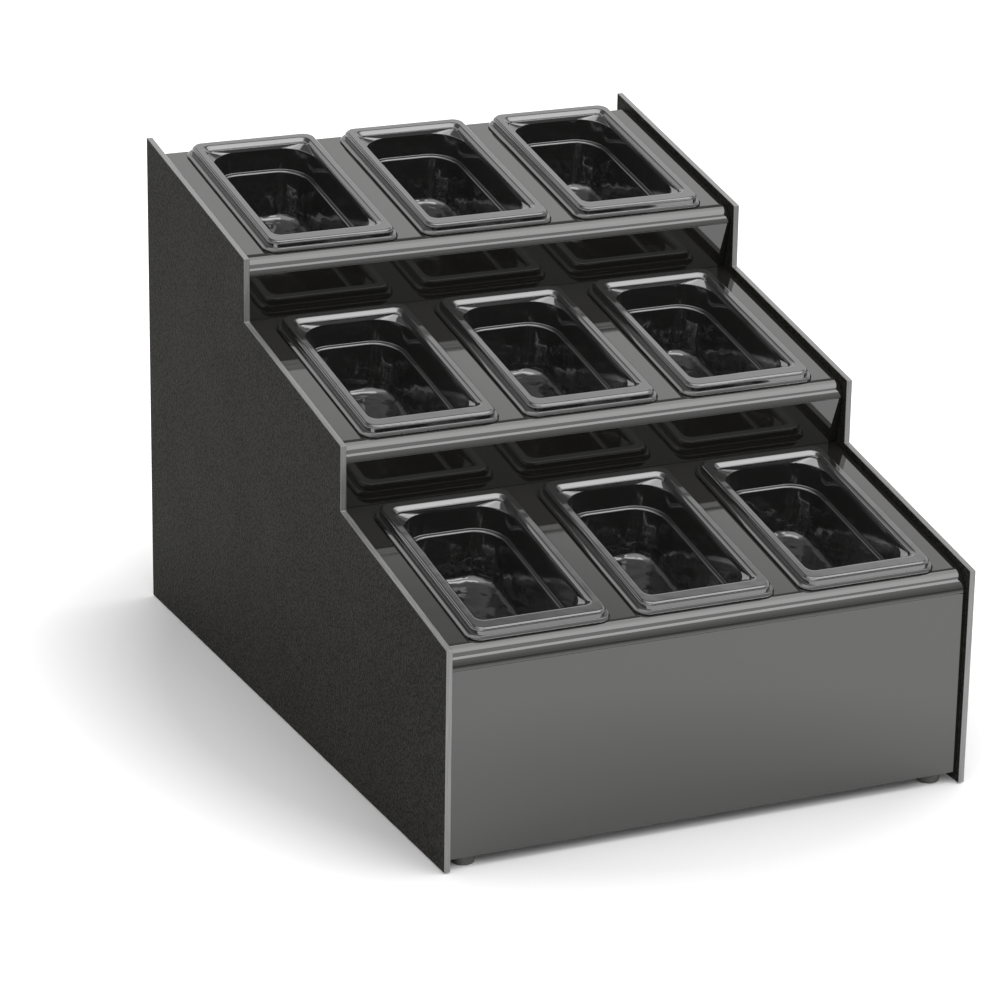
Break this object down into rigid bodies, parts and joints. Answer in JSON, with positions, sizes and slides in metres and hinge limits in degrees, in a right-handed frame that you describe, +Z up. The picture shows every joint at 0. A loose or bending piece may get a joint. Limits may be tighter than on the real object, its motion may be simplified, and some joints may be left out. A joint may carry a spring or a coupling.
{
  "type": "condiment caddy",
  "caption": "Stepped countertop condiment caddy: glossy sloping shelves between stair-shaped side panels, with lift-out rectangular pans sunk in cut-outs.",
  "frame": {"origin": "on the floor under the middle of the stand's outline", "axes": "+Z up, +Y from the low front step to the high back, +X to the right seen from the front"},
  "size_m": [0.406, 0.575, 0.375],
  "materials": {
    "panel": "fine pebbled face, polished cut edges",
    "sheet": "mirror gloss",
    "pan": "moulded gloss",
    "rail": "sawn and sanded",
    "foot": "moulded matte",
    "screw": "plated"
  },
  "bodies": {
    "stand": {"left_side_panel": "panel", "right_side_panel": "panel", "lower_shelf": "sheet", "middle_shelf": "sheet", "upper_shelf": "sheet", "front_panel": "sheet", "lower_riser": "sheet", "upper_riser": "sheet", "rear_apron": "sheet", "front_base_rail": "rail", "rear_base_rail": "rail", "front_left_foot": "foot", "front_right_foot": "foot", "rear_left_foot": "foot", "rear_right_foot": "foot", "foot_screws": "screw"},
    "lower_pan_left": {"lower_pan_left": "pan"},
    "lower_pan_middle": {"lower_pan_middle": "pan"},
    "lower_pan_right": {"lower_pan_right": "pan"},
    "middle_pan_left": {"middle_pan_left": "pan"},
    "middle_pan_middle": {"middle_pan_middle": "pan"},
    "middle_pan_right": {"middle_pan_right": "pan"},
    "upper_pan_left": {"upper_pan_left": "pan"},
    "upper_pan_middle": {"upper_pan_middle": "pan"},
    "upper_pan_right": {"upper_pan_right": "pan"}
  },
  "joints": [
    {"name": "lower_pan_left_lift", "type": "slide", "parent": "stand", "child": "lower_pan_left", "axis": [0, -0.1994, 0.9799], "range_m": [0, 0.075]},
    {"name": "lower_pan_middle_lift", "type": "slide", "parent": "stand", "child": "lower_pan_middle", "axis": [0, -0.1994, 0.9799], "range_m": [0, 0.075]},
    {"name": "lower_pan_right_lift", "type": "slide", "parent": "stand", "child": "lower_pan_right", "axis": [0, -0.1994, 0.9799], "range_m": [0, 0.075]},
    {"name": "middle_pan_left_lift", "type": "slide", "parent": "stand", "child": "middle_pan_left", "axis": [0, -0.1994, 0.9799], "range_m": [0, 0.075]},
    {"name": "middle_pan_middle_lift", "type": "slide", "parent": "stand", "child": "middle_pan_middle", "axis": [0, -0.1994, 0.9799], "range_m": [0, 0.075]},
    {"name": "middle_pan_right_lift", "type": "slide", "parent": "stand", "child": "middle_pan_right", "axis": [0, -0.1994, 0.9799], "range_m": [0, 0.075]},
    {"name": "upper_pan_left_lift", "type": "slide", "parent": "stand", "child": "upper_pan_left", "axis": [0, -0.1994, 0.9799], "range_m": [0, 0.075]},
    {"name": "upper_pan_middle_lift", "type": "slide", "parent": "stand", "child": "upper_pan_middle", "axis": [0, -0.1994, 0.9799], "range_m": [0, 0.075]},
    {"name": "upper_pan_right_lift", "type": "slide", "parent": "stand", "child": "upper_pan_right", "axis": [0, -0.1994, 0.9799], "range_m": [0, 0.075]}
  ]
}
